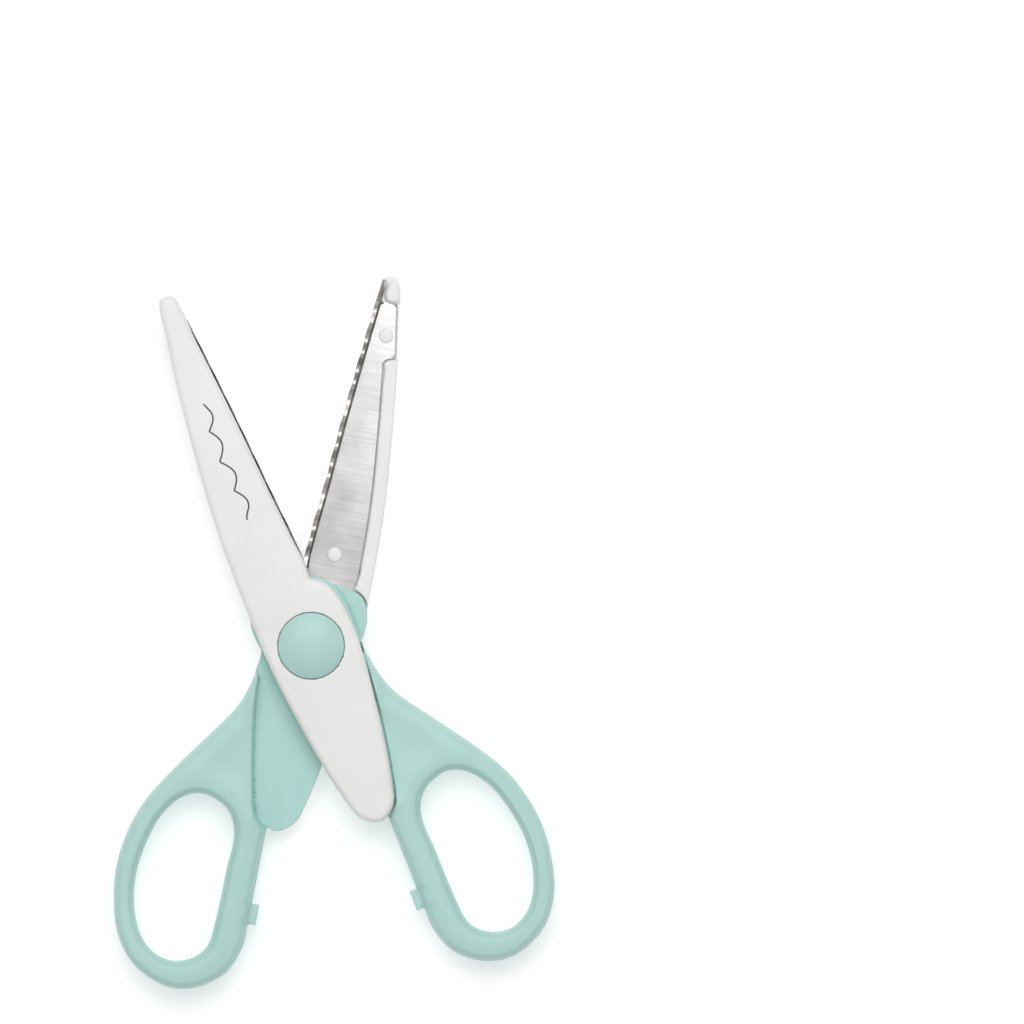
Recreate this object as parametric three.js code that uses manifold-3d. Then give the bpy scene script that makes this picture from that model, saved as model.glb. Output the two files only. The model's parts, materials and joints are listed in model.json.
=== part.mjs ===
// Decorative edge scissors: two like halves on one pivot, each a moulded handle, a moulded cover and a
// stamped blade with a corrugated cutting strip. Millimetres. The pivot axis is Z, +Y runs between the
// open blades to their tips, and the scissors lie on the plane z = 0.
//
// Half frame: x to the cutting edge and the finger loop, y to the tip, z outwards from the shear plane.
import * as THREE from "three";
import { mergeVertices } from "three/addons/utils/BufferGeometryUtils.js";
import Module from "manifold-3d";

const wasm = await Module();
wasm.setup();

// Reaches from the pivot axis
const BLADE_REACH = 84.8; // to the tip of the cover
const LOOP_REACH = 81.6; // to the far end of the finger loop
const TAIL_REACH = 42.5; // to the round end of the cover
const OPENING = 32.8; // degrees between the halves as they lie
const WIDEST = 67; // the same when they are fully open

// Places along the blade and along the loop, as shares of their reach past the shoulder and the neck
const REAR_RIVET = 0.097;
const FRONT_RIVET = 0.813;
const FLAT_SHARE = 0.913;
const NOSE_SHARE = 0.925;
const STRIP_SHARE = 0.985;
const TAB_SHARE = 0.697;

// Widths in plan
const COVER_HALF_WIDTH = 10.4; // at the pivot
const SHOULDER = 14.2; // where the broad pivot end turns into the blade
const LOBE = 0.5; // the handle plate past the cover round the pivot
const BACK_LOBE = 0.8; // the same on the back of the cover
const LOOP_SIDE = 33.4; // outer side of the finger loop
const ARM_SIDE = 1.9; // inner side of the arm
const NECK = 8.7; // behind the pivot, where the full thickness starts

// Thicknesses
const RUNNING_GAP = 0.3; // between the two handle plates
const PLATE = 2.2;
const SHEET = 0.7; // blade steel
const CROWN = 3.6; // cover over the handle plate
const HANDLE_THICKNESS = 9.2;
const WEB_THICKNESS = 5.6;
const LIE = 0.05; // between faces that lie on each other

// Cutting strip
const STRIP_WIDTH = 0.9;
const JOGGLE_WIDTH = 0.5;
const JOGGLE_WALL = 0.4; // steel across the joggle, in plan
const STRIP_START = 17; // ahead of the pivot
const WAVE_HEIGHT = 0.9; // middle to crest
const WAVE_PITCH = 7.2;
const WAVES_IN_PATTERN = 3;
const WAVE_RUN_IN = 5;
const PLAIN_END = 4.2; // of the strip, past the waves
const WAVE_RUN_OUT = 3;
const STRIP_GAP = 0.1; // between the two strips
const STEPS_PER_WAVE = 6;

// Border along the back of the cover, lip and nose at its tip
const BORDER_WIDTH = 3.4;
const BORDER_LENGTH = 66.7; // from the pivot
const BORDER_CORNER = 1.4; // rounded end
const BORDER_LIFT = 0.6; // its inner face above the shear plane
const LIP_WIDTH = 0.4;
const NOSE_LIFT = 1.2;
const SIDE_CLEARANCE = 0.25; // round the blade in its pocket
const BORDER_CLEARANCE = 0.3; // to the handle plate

// Rivets
const RIVET_HEAD = 1.65;
const RIVET_RISE = 0.5;
const RIVET_SHANK = 0.9;
const RIVET_DEPTH = 1.9; // into the cover
const RIVET_CLEARANCE = 0.06;

// Pivot
const SCREW = 2.4;
const SCREW_HEAD = 4;
const SCREW_HEAD_HEIGHT = 1.4;
const SLOT_WIDTH = 0.9;
const SLOT_DEPTH = 0.7;
const BORE_CLEARANCE = 0.08;
const THREAD_CLEARANCE = 0.03;
const WASHER = 4.6;
const WASHER_THICKNESS = 0.5;
const SPRING = 4.3;
const SPRING_THICKNESS = 0.4;
const SPRING_CONE = 0.2;
const NUT = 4.4; // over its corners
const NUT_HEIGHT = 1;
const CAP = 7.4;
const CAP_CLEARANCE = 0.15;
const CAP_ROOM = 0.3; // between the caps and what they cover
const CAP_EDGE = 0.35; // straight side of the cap above the cover
const CAP_RISE = 2.4; // dome over the cover
const SEAT = 0.9; // cover left under the caps
const THRUST = 6;
const THRUST_RECESS = 0.35;
const THRUST_CLEARANCE = 0.2;

// Other fits and edges
const NEST_CLEARANCE = 0.5; // round the other half's tail
const SWEEP_CLEARANCE = 0.35; // round the other half's lobe
const COVER_CLEARANCE = 0.3; // between the cover's side and the handle
const TAB_LENGTH = 4.6;
const TAB_THICKNESS = 2.8;
const TAB_GAP = 0.15; // from the middle line
const COVER_ROUND = 1.1;
const LOOP_ROUND = 2.1;
const LOOP_ROUND_DEPTH = 3.2;
const PLATE_ROUND = 0.3;
const DISH_SLOPE = 1.2;

// Levels in the half frame
const PLATE_IN = RUNNING_GAP / 2;
const PLATE_OUT = PLATE_IN + PLATE;
const SHEET_IN = PLATE_OUT + LIE;
const SHEET_OUT = SHEET_IN + SHEET;
const POCKET = SHEET_OUT + LIE;
const COVER_OUT = SHEET_IN + CROWN;
const SEAT_OUT = POCKET + SEAT;
const BORE = SCREW + BORE_CLEARANCE;
// Radius round the pivot that the other half's lobe sweeps
const SWEEP = Math.hypot(COVER_HALF_WIDTH + BACK_LOBE, 0.49 * SHOULDER) + SWEEP_CLEARANCE;
const FAR = 200;

const MINT = new THREE.MeshStandardMaterial({ color: 0xb5d9d3, roughness: 0.45 });
const WHITE = new THREE.MeshStandardMaterial({ color: 0xe9e9e6, roughness: 0.4 });
const STAINLESS = new THREE.MeshStandardMaterial({ color: 0xc9cac6, roughness: 0.3, metalness: 1 });
const ZINC = new THREE.MeshStandardMaterial({ color: 0xa9abae, roughness: 0.4, metalness: 1 });
const NYLON = new THREE.MeshStandardMaterial({ color: 0xdadad4, roughness: 0.6 });

// Places along the blade, from 0 at the shoulder to 1 at the tip
const ahead = (share) => SHOULDER + share * (BLADE_REACH - SHOULDER);
// Places along the handle, from 0 at the neck to 1 at the end of the loop
const behind = (share) => -NECK - share * (LOOP_REACH - NECK);

// ---- Outlines -------------------------------------------------------------------------------------

function smoothLine(points, steps, closed = false) {
  const path = points.map(([x, y]) => new THREE.Vector3(x, y, 0));
  return new THREE.CatmullRomCurve3(path, closed, "centripetal")
    .getPoints(steps)
    .slice(0, closed ? -1 : undefined)
    .map((p) => [p.x, p.y]);
}

// The value at a place in rows of [value, place] that run upwards
function between(rows, place) {
  const above = rows.findIndex(([, p]) => p > place);
  const i = above < 0 ? rows.length - 1 : Math.max(above, 1);
  const [v0, p0] = rows[i - 1];
  const [v1, p1] = rows[i];
  return v0 + ((place - p0) / (p1 - p0)) * (v1 - v0);
}

// An anticlockwise outline pushed outwards
function grown(points, distance) {
  return points.map(([x, y], i) => {
    const [ax, ay] = points[(i + points.length - 1) % points.length];
    const [bx, by] = points[(i + 1) % points.length];
    const length = Math.hypot(bx - ax, by - ay);
    return [x + ((by - ay) / length) * distance, y - ((bx - ax) / length) * distance];
  });
}

// The outline without the points that lie on a straight stretch
function corners(points) {
  return points.filter(([x, y], i) => {
    const [ax, ay] = points[(i + points.length - 1) % points.length];
    const [bx, by] = points[(i + 1) % points.length];
    return Math.abs((x - ax) * (by - ay) - (y - ay) * (bx - ax)) > 1e-6;
  });
}

const backEdge = smoothLine(
  [
    [-10.6, ahead(0)],
    [-10.5, ahead(0.15)],
    [-10, ahead(0.3)],
    [-8.6, ahead(0.507)],
    [-6.75, ahead(0.72)],
    [-5.1, ahead(0.861)],
    [-4, ahead(0.965)],
  ],
  18,
);

const cuttingEdge = smoothLine(
  [
    [5.2, ahead(0)],
    [5.5, ahead(0.07)],
    [4.4, ahead(0.295)],
    [3.4, ahead(0.507)],
    [2.2, ahead(0.72)],
    [0.85, ahead(0.93)],
    [0.45, ahead(0.985)],
  ],
  18,
);

const tailOutline = smoothLine(
  [
    [-1, 0],
    [-0.98, 0.12],
    [-0.88, 0.35],
    [-0.74, 0.59],
    [-0.55, 0.82],
    [-0.39, 0.94],
    [0, 1],
    [0.39, 0.94],
    [0.55, 0.82],
    [0.74, 0.59],
    [0.88, 0.35],
    [0.98, 0.12],
    [1, 0],
  ].map(([across, share]) => [across * COVER_HALF_WIDTH, -share * TAIL_REACH]),
  36,
);

const shoulderLine = smoothLine(
  [
    [COVER_HALF_WIDTH, 0],
    [COVER_HALF_WIDTH - 0.7, 0.56 * SHOULDER],
    [COVER_HALF_WIDTH - 2.5, 0.85 * SHOULDER],
    [cuttingEdge[0][0], SHOULDER],
  ],
  9,
);

const tipLine = smoothLine([cuttingEdge.at(-1), [-0.6, ahead(1)], [-3, ahead(0.998)], backEdge.at(-1)], 9);

const coverOutline = [
  ...tailOutline,
  ...shoulderLine.slice(1),
  ...cuttingEdge.slice(1),
  ...tipLine.slice(1),
  ...backEdge.toReversed().slice(1),
];

const lobeLine = smoothLine(
  [
    [COVER_HALF_WIDTH + LOBE - 0.1, -0.5 * NECK],
    [COVER_HALF_WIDTH + LOBE, 0],
    [COVER_HALF_WIDTH + LOBE - 0.4, 0.56 * SHOULDER],
    [COVER_HALF_WIDTH + LOBE - 2.4, 0.87 * SHOULDER],
    [0.53 * COVER_HALF_WIDTH, SHOULDER + 0.4],
    [0, SHOULDER + 0.4],
    [-0.48 * COVER_HALF_WIDTH, SHOULDER + 0.05],
    [-COVER_HALF_WIDTH + 1.4, 0.9 * SHOULDER],
    [-COVER_HALF_WIDTH - 0.4 * BACK_LOBE, 0.7 * SHOULDER],
    [-COVER_HALF_WIDTH - BACK_LOBE, 0.49 * SHOULDER],
    [-COVER_HALF_WIDTH - 0.4 * BACK_LOBE, 0.19 * SHOULDER],
    [-COVER_HALF_WIDTH, 0],
  ],
  33,
);

const plateOutline = [...tailOutline.slice(1, -3), ...lobeLine];

const handleEdge = smoothLine(
  [
    [COVER_HALF_WIDTH + 0.35, -0.43 * NECK],
    [COVER_HALF_WIDTH + 1, behind(0.01)],
    [COVER_HALF_WIDTH + 3, behind(0.1)],
    [0.584 * LOOP_SIDE, behind(0.226)],
    [0.781 * LOOP_SIDE, behind(0.357)],
    [0.906 * LOOP_SIDE, behind(0.457)],
    [0.976 * LOOP_SIDE, behind(0.56)],
    [LOOP_SIDE, behind(0.663)],
    [0.973 * LOOP_SIDE, behind(0.768)],
    [0.9 * LOOP_SIDE, behind(0.871)],
    [0.749 * LOOP_SIDE, behind(0.955)],
    [0.491 * LOOP_SIDE, behind(1)],
    [0.29 * LOOP_SIDE, behind(0.979)],
    [0.127 * LOOP_SIDE, behind(0.915)],
    [ARM_SIDE, behind(0.825)],
    [ARM_SIDE, behind(0.77)],
  ],
  45,
);

const handleOutline = corners([
  [0, -0.43 * NECK],
  [ARM_SIDE, -0.9 * TAIL_REACH],
  ...handleEdge.toReversed(),
]);

const fingerHole = smoothLine(
  [
    [0.522, 0.394],
    [0.344, 0.426],
    [0.268, 0.49],
    [0.269, 0.601],
    [0.274, 0.759],
    [0.3, 0.855],
    [0.407, 0.903],
    [0.557, 0.916],
    [0.713, 0.878],
    [0.82, 0.79],
    [0.858, 0.676],
    [0.829, 0.569],
    [0.763, 0.479],
    [0.656, 0.417],
  ].map(([across, share]) => [across * LOOP_SIDE, behind(share)]),
  42,
  true,
);

const dishOutline = smoothLine(
  [
    [COVER_HALF_WIDTH + 0.6, behind(0.08)],
    [COVER_HALF_WIDTH - 1.6, behind(0.22)],
    [0.25 * LOOP_SIDE, behind(0.33)],
    [0.42 * LOOP_SIDE, behind(0.355)],
    [0.62 * LOOP_SIDE, behind(0.345)],
    [0.52 * LOOP_SIDE, behind(0.24)],
    [0.42 * LOOP_SIDE, behind(0.15)],
  ],
  28,
  true,
);

const backAt = (y) => between(backEdge, y);
const bendAt = (y) => between(cuttingEdge, y) - STRIP_WIDTH - JOGGLE_WIDTH;
const FLAT_END = ahead(FLAT_SHARE);
const STRIP_END = ahead(STRIP_SHARE);

// Edge of the flat metal along the border, round the border's end and along the lip
const BORDER_STRAIGHT = BORDER_LENGTH - BORDER_CORNER;
const LIP = LIP_WIDTH + SIDE_CLEARANCE;
const flatEdge = [
  ...backEdge.filter(([, y]) => y < BORDER_STRAIGHT).map(([x, y]) => [x + BORDER_WIDTH, y]),
  [backAt(BORDER_STRAIGHT) + BORDER_WIDTH, BORDER_STRAIGHT],
  [backAt(BORDER_LENGTH) + 0.75 * BORDER_WIDTH, BORDER_LENGTH - 0.3 * BORDER_CORNER],
  [backAt(BORDER_LENGTH) + 0.4 * BORDER_WIDTH, BORDER_LENGTH],
  [backAt(BORDER_LENGTH) + LIP, BORDER_LENGTH + 0.1 * BORDER_CORNER],
  ...backEdge.filter(([, y]) => y > BORDER_LENGTH + BORDER_CORNER).map(([x, y]) => [x + LIP, y]),
];

// ---- Solids -----------------------------------------------------------------------------------------

function solidOf(geometry) {
  const bare = geometry.index ? geometry.toNonIndexed() : geometry.clone();
  bare.deleteAttribute("normal");
  bare.deleteAttribute("uv");
  const merged = mergeVertices(bare, 1e-3);
  return new wasm.Manifold(
    new wasm.Mesh({
      numProp: 3,
      vertProperties: merged.attributes.position.array,
      triVerts: new Uint32Array(merged.index.array),
    }),
  );
}

function meshOf(solid, name, material) {
  const { vertProperties, triVerts } = solid.getMesh();
  const geometry = new THREE.BufferGeometry();
  geometry.setAttribute("position", new THREE.BufferAttribute(vertProperties, 3));
  geometry.setIndex(new THREE.BufferAttribute(triVerts, 1));
  geometry.computeVertexNormals();
  const mesh = new THREE.Mesh(geometry, material);
  mesh.name = name;
  return mesh;
}

const pathOf = (points) => points.map(([x, y]) => new THREE.Vector2(x, y));

function slab(points, low, high) {
  const options = { depth: high - low, bevelEnabled: false };
  return solidOf(new THREE.ExtrudeGeometry(new THREE.Shape(pathOf(points)), options).translate(0, 0, low));
}

// A slab whose edges are rounded inside its outline, by "across" in plan and "deep" in thickness. Its
// outline and hole run anticlockwise
function roundedSlab(points, low, high, across, deep, segments, hole = []) {
  const rim = Array.from({ length: segments + 1 }, (_, i) => {
    const angle = (i / segments) * (Math.PI / 2);
    return [across * (1 - Math.sin(angle)), deep * (1 - Math.cos(angle))];
  });
  const layers = [
    ...rim.map(([inset, depth]) => [inset, low + depth]),
    ...rim.toReversed().map(([inset, depth]) => [inset, high - depth]),
  ];
  const corners3 = layers.flatMap(([inset, z]) =>
    [...grown(points, -inset), ...grown(hole, inset)].map(([x, y]) => [x, y, z]),
  );
  const count = points.length + hole.length;
  const top = corners3.length - count;
  const index = [];
  const wall = (a, b) => {
    for (let base = 0; base < top; base += count) {
      index.push(base + a, base + b, base + count + b, base + a, base + count + b, base + count + a);
    }
  };
  points.forEach((_, i) => wall(i, (i + 1) % points.length));
  hole.forEach((_, i) => wall(points.length + ((i + 1) % hole.length), points.length + i));
  const plan = [...points, ...hole];
  for (const face of THREE.ShapeUtils.triangulateShape(pathOf(points), hole.length ? [pathOf(hole)] : [])) {
    const [p, q, r] = face.map((i) => plan[i]);
    const turn = (q[0] - p[0]) * (r[1] - p[1]) - (q[1] - p[1]) * (r[0] - p[0]);
    const [a, b, c] = turn > 0 ? face : face.toReversed();
    index.push(a, c, b, top + a, top + b, top + c);
  }
  return solidOf(indexed(corners3, index));
}

function indexed(points, index) {
  const geometry = new THREE.BufferGeometry();
  geometry.setAttribute("position", new THREE.Float32BufferAttribute(points.flat(), 3));
  geometry.setIndex(index);
  return geometry;
}

function box(x0, x1, y0, y1, z0, z1) {
  const geometry = new THREE.BoxGeometry(x1 - x0, y1 - y0, z1 - z0);
  return solidOf(geometry.translate((x0 + x1) / 2, (y0 + y1) / 2, (z0 + z1) / 2));
}

// A piece turned round the Z axis from rows of [radius, level], which run anticlockwise
function turned(rows, sides = 32) {
  const profile = [...rows, rows[0]].map(([r, z]) => new THREE.Vector2(r, z));
  return solidOf(new THREE.LatheGeometry(profile, sides).rotateX(Math.PI / 2));
}

const disc = (radius, low, high, sides) =>
  turned([[0, low], [radius, low], [radius, high], [0, high]], sides);
const washer = (inner, outer, low, high, sides) =>
  turned([[inner, low], [outer, low], [outer, high], [inner, high]], sides);

const moved = (solid, [x, y]) => solid.translate([x, y, 0]);

// ---- Pieces of one half -----------------------------------------------------------------------------

const rivetPlaces = { rear: [-1.05, ahead(REAR_RIVET)], front: [-2.9, ahead(FRONT_RIVET)] };

// What the other half fills at the inside of this one, closed and fully open
function roomForOtherHalf() {
  const turnedOver = (points) => points.map(([x, y]) => [-x, y]).reverse();
  const outlines = [plateOutline, coverOutline].map((points) => grown(turnedOver(points), NEST_CLEARANCE));
  return outlines
    .map((points) => slab(points, -FAR, PLATE_IN).rotate([0, 0, -WIDEST]))
    .reduce(
      (room, open) => room.add(open),
      slab(grown(tailOutline, NEST_CLEARANCE), -FAR, PLATE_IN).add(disc(SWEEP, -FAR, PLATE_IN)),
    );
}

function handle() {
  const half = HANDLE_THICKNESS / 2;
  const dish = (low, high) => roundedSlab(dishOutline, low, high, DISH_SLOPE, DISH_SLOPE, 2);
  const body = roundedSlab(handleOutline, -half, half, LOOP_ROUND, LOOP_ROUND_DEPTH, 3, fingerHole)
    .subtract(dish(WEB_THICKNESS / 2, 2 * HANDLE_THICKNESS))
    .subtract(dish(-2 * HANDLE_THICKNESS, -WEB_THICKNESS / 2))
    .subtract(roomForOtherHalf())
    .subtract(slab(grown(coverOutline, COVER_CLEARANCE), PLATE_OUT, FAR));
  const plate = roundedSlab(plateOutline, PLATE_IN, PLATE_OUT, PLATE_ROUND, PLATE_ROUND, 1);
  const tab = box(
    TAB_GAP,
    ARM_SIDE + LOOP_ROUND,
    behind(TAB_SHARE) - TAB_LENGTH,
    behind(TAB_SHARE),
    -TAB_THICKNESS / 2,
    TAB_THICKNESS / 2,
  );
  return body
    .add(plate)
    .add(tab)
    .subtract(disc(BORE, -FAR, FAR))
    .subtract(disc(THRUST + THRUST_CLEARANCE, -FAR, PLATE_IN + THRUST_RECESS));
}

// Outline of the blade in plan, from the round end of its shank to the end of the strip
function bladeOutline() {
  const shank = 0.5 * COVER_HALF_WIDTH;
  const inStrip = ([, y]) => y > STRIP_START && y < STRIP_END;
  const inFlat = ([, y]) => y > STRIP_START && y < FLAT_END;
  return [
    [between(flatEdge, STRIP_START), STRIP_START],
    [-shank, 0.5 * SHOULDER],
    [-shank, -shank],
    [-0.6 * shank, -2 * shank],
    [0.6 * shank, -2 * shank],
    [shank, -shank],
    [0.9 * shank, 0.5 * SHOULDER],
    [bendAt(STRIP_START), STRIP_START],
    [between(cuttingEdge, STRIP_START), STRIP_START],
    ...cuttingEdge.filter(inStrip),
    [between(cuttingEdge, STRIP_END), STRIP_END],
    [bendAt(STRIP_END) + JOGGLE_WIDTH, STRIP_END],
    [bendAt(FLAT_END) + JOGGLE_WIDTH, FLAT_END],
    [between(flatEdge, FLAT_END), FLAT_END],
    ...flatEdge.filter(inFlat).toReversed(),
  ];
}

// Level of the cutting pattern at a distance from the pivot: it is the same on both strips, so that
// they slide on each other at every angle
function waveAt(radius) {
  const runIn = Math.min(Math.max((radius - STRIP_START) / WAVE_RUN_IN, 0), 1);
  const runOut = Math.min(Math.max((STRIP_END - PLAIN_END - radius) / WAVE_RUN_OUT, 0), 1);
  const turn = (2 * Math.PI * radius) / WAVE_PITCH;
  const swell = 0.8 + 0.2 * Math.cos(turn / WAVES_IN_PATTERN);
  return WAVE_HEIGHT * runIn * runOut * swell * Math.sin(turn);
}

// Flat, joggle and strip as one bent sheet; side is 1 on the upper half and -1 on the lower
function bentSheet(side) {
  const count = Math.ceil(((STRIP_END - STRIP_START) / WAVE_PITCH) * STEPS_PER_WAVE);
  const rows = [];
  for (let i = 0; i <= count; i++) {
    const y = STRIP_START + (i / count) * (STRIP_END - STRIP_START);
    const bend = bendAt(y);
    const edge = between(cuttingEdge, y);
    const foot = bend + JOGGLE_WIDTH;
    const strip = (x) => side * waveAt(Math.hypot(x, y)) + STRIP_GAP / 2;
    rows.push([
      [backAt(y), y, SHEET_IN],
      [bend, y, SHEET_IN],
      [foot, y, strip(foot)],
      [edge, y, strip(edge)],
      [edge, y, strip(edge) + SHEET],
      [foot + JOGGLE_WALL, y, strip(foot + JOGGLE_WALL) + SHEET],
      [bend + JOGGLE_WALL, y, SHEET_OUT],
      [backAt(y), y, SHEET_OUT],
    ]);
  }
  return ribbonSolid(rows);
}

// A closed solid over rows of corners, each row running anticlockwise seen from the next
function ribbonSolid(rows) {
  const around = rows[0].length;
  const index = [];
  const at = (i, j) => i * around + (j % around);
  for (let i = 0; i + 1 < rows.length; i++) {
    for (let j = 0; j < around; j++) {
      index.push(at(i, j), at(i + 1, j + 1), at(i, j + 1), at(i, j), at(i + 1, j), at(i + 1, j + 1));
    }
  }
  // Each end is filled between its inner and outer line
  const last = rows.length - 1;
  for (let j = 0; j + 1 < around / 2; j++) {
    const [a, b, c, d] = [j, j + 1, around - 2 - j, around - 1 - j];
    index.push(at(0, a), at(0, b), at(0, c), at(0, a), at(0, c), at(0, d));
    index.push(at(last, a), at(last, c), at(last, b), at(last, a), at(last, d), at(last, c));
  }
  return solidOf(indexed(rows.flat(), index));
}

function blade(side) {
  const shank = slab(bladeOutline(), SHEET_IN, SHEET_OUT).intersect(
    box(-FAR, bendAt(STRIP_START), -FAR, STRIP_START + 0.5, -FAR, FAR),
  );
  return Object.values(rivetPlaces).reduce(
    (sheet, place) => sheet.subtract(moved(disc(RIVET_SHANK + RIVET_CLEARANCE, -FAR, FAR, 18), place)),
    bentSheet(side)
      .intersect(slab(bladeOutline(), -FAR, FAR))
      .add(shank)
      .subtract(disc(BORE, -FAR, FAR)),
  );
}

function cover() {
  const deep = 2 * COVER_ROUND;
  const shell = roundedSlab(coverOutline, SHEET_IN - deep, COVER_OUT, COVER_ROUND, COVER_ROUND, 3).subtract(
    box(-FAR, FAR, -FAR, FAR, -FAR, SHEET_IN),
  );
  const inBorder = ([, y]) => y <= BORDER_LENGTH;
  const borderOutline = [
    [-COVER_HALF_WIDTH, 0],
    [-COVER_HALF_WIDTH + BORDER_WIDTH, 0],
    ...flatEdge.filter(inBorder),
    [backAt(BORDER_LENGTH), BORDER_LENGTH],
    ...backEdge.filter(inBorder).toReversed(),
  ];
  const border = slab(borderOutline, BORDER_LIFT, POCKET).subtract(
    slab(grown(plateOutline, BORDER_CLEARANCE), -FAR, SHEET_IN),
  );
  const noseOutline = smoothLine(
    [
      [backAt(ahead(NOSE_SHARE)) + LIP_WIDTH, ahead(NOSE_SHARE)],
      [bendAt(STRIP_END) - LIP_WIDTH, ahead(NOSE_SHARE)],
      [bendAt(STRIP_END) - LIP_WIDTH, ahead(0.975)],
      [-2.4, STRIP_END],
      [-3.6, ahead(0.97)],
    ],
    15,
    true,
  );
  const rivetHole = disc(RIVET_SHANK + RIVET_CLEARANCE, -FAR, POCKET + RIVET_DEPTH + LIE, 18);
  return shell
    .add(border)
    .subtract(slab(grown(bladeOutline(), SIDE_CLEARANCE), -FAR, POCKET))
    .add(slab(noseOutline, NOSE_LIFT, POCKET + LIE))
    .subtract(moved(rivetHole, rivetPlaces.rear))
    .subtract(moved(rivetHole, rivetPlaces.front))
    .subtract(disc(CAP + CAP_CLEARANCE, SEAT_OUT, FAR, 48))
    .subtract(disc(BORE, -FAR, FAR));
}

function rivet() {
  const under = SHEET_IN - LIE;
  return turned(
    [
      [0, under - RIVET_RISE],
      [0.6 * RIVET_HEAD, under - 0.85 * RIVET_RISE],
      [0.9 * RIVET_HEAD, under - 0.45 * RIVET_RISE],
      [RIVET_HEAD, under],
      [RIVET_SHANK, under],
      [RIVET_SHANK, POCKET + RIVET_DEPTH],
      [0, POCKET + RIVET_DEPTH],
    ],
    18,
  );
}

// ---- Pieces of the pivot, in the upper half's frame ----------------------------------------------------

const WASHER_IN = SEAT_OUT + LIE;
const SPRING_IN = WASHER_IN + WASHER_THICKNESS + LIE;
const HEAD_IN = SPRING_IN + SPRING_THICKNESS + SPRING_CONE + LIE;
const HEAD_OUT = HEAD_IN + SCREW_HEAD_HEIGHT;
const NUT_IN = -SEAT_OUT - LIE;
const NUT_OUT = NUT_IN - NUT_HEIGHT;

const flatWasher = () => washer(BORE, WASHER, WASHER_IN, WASHER_IN + WASHER_THICKNESS);

function springWasher() {
  return turned([
    [BORE, SPRING_IN + SPRING_CONE],
    [SPRING, SPRING_IN],
    [SPRING, SPRING_IN + SPRING_THICKNESS],
    [BORE, SPRING_IN + SPRING_CONE + SPRING_THICKNESS],
  ]);
}

function screw() {
  const slot = box(-SLOT_WIDTH / 2, SLOT_WIDTH / 2, -FAR, FAR, HEAD_OUT - SLOT_DEPTH, FAR);
  return turned([
    [0, NUT_OUT],
    [SCREW, NUT_OUT],
    [SCREW, HEAD_IN],
    [SCREW_HEAD, HEAD_IN],
    [SCREW_HEAD, HEAD_OUT - 0.4 * SCREW_HEAD_HEIGHT],
    [0.85 * SCREW_HEAD, HEAD_OUT],
    [0, HEAD_OUT],
  ]).subtract(slot);
}

function nut() {
  return disc(NUT, NUT_OUT, NUT_IN, 6).subtract(disc(SCREW + THREAD_CLEARANCE, -FAR, FAR));
}

function thrustWasher() {
  const half = PLATE_IN + THRUST_RECESS - LIE;
  return washer(BORE, THRUST, -half, half);
}

// The dome is part of a sphere that meets the straight side at the cap's edge
function upperCap() {
  const edge = COVER_OUT + CAP_EDGE;
  const rise = CAP_RISE - CAP_EDGE;
  const ball = (CAP * CAP + rise * rise) / (2 * rise);
  const spread = Math.asin(CAP / ball);
  const steps = 6;
  const dome = Array.from({ length: steps + 1 }, (_, i) => {
    const angle = spread * (1 - i / steps);
    return [ball * Math.sin(angle), edge + rise - ball * (1 - Math.cos(angle))];
  });
  const room = WASHER + CAP_ROOM;
  return turned(
    [
      [0, HEAD_OUT + CAP_ROOM],
      [room, HEAD_OUT + CAP_ROOM],
      [room, SEAT_OUT + LIE],
      [CAP, SEAT_OUT + LIE],
      ...dome,
    ],
    48,
  );
}

function lowerCap() {
  const room = NUT + CAP_ROOM;
  return turned(
    [
      [0, -COVER_OUT],
      [CAP, -COVER_OUT],
      [CAP, NUT_IN],
      [room, NUT_IN],
      [room, NUT_OUT - CAP_ROOM / 2],
      [0, NUT_OUT - CAP_ROOM / 2],
    ],
    48,
  );
}

// ---- Assembly ---------------------------------------------------------------------------------------

function halfOf(name, side) {
  const half = new THREE.Group();
  half.add(
    meshOf(handle(), name + "_handle", MINT.clone()),
    meshOf(cover(), name + "_cover", WHITE.clone()),
    meshOf(blade(side), name + "_blade", STAINLESS.clone()),
  );
  for (const [end, place] of Object.entries(rivetPlaces)) {
    half.add(meshOf(moved(rivet(), place), name + "_rivet_" + end, WHITE.clone()));
  }
  return half;
}

const group = new THREE.Group();
const halfOpening = THREE.MathUtils.degToRad(OPENING / 2);

const upper = halfOf("upper", 1);
upper.position.z = COVER_OUT;
upper.rotation.z = halfOpening;

const lower = halfOf("lower", -1);
lower.position.z = COVER_OUT;
lower.rotation.set(0, Math.PI, -halfOpening, "ZYX");

const pivot = new THREE.Group();
pivot.position.z = COVER_OUT;
pivot.add(
  meshOf(upperCap(), "pivot_cap_upper", MINT.clone()),
  meshOf(screw(), "pivot_screw", ZINC.clone()),
  meshOf(springWasher(), "spring_washer", ZINC.clone()),
  meshOf(flatWasher(), "flat_washer", ZINC.clone()),
  meshOf(thrustWasher(), "thrust_washer", NYLON.clone()),
  meshOf(nut(), "pivot_nut", ZINC.clone()),
  meshOf(lowerCap(), "pivot_cap_lower", MINT.clone()),
);

group.add(upper, lower, pivot);
export default group;
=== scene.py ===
"""Decorative edge scissors: fine meshes, materials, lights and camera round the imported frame."""
import json
import math

import bmesh
import bpy
import numpy as np
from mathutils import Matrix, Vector
from mathutils.geometry import delaunay_2d_cdt


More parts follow.
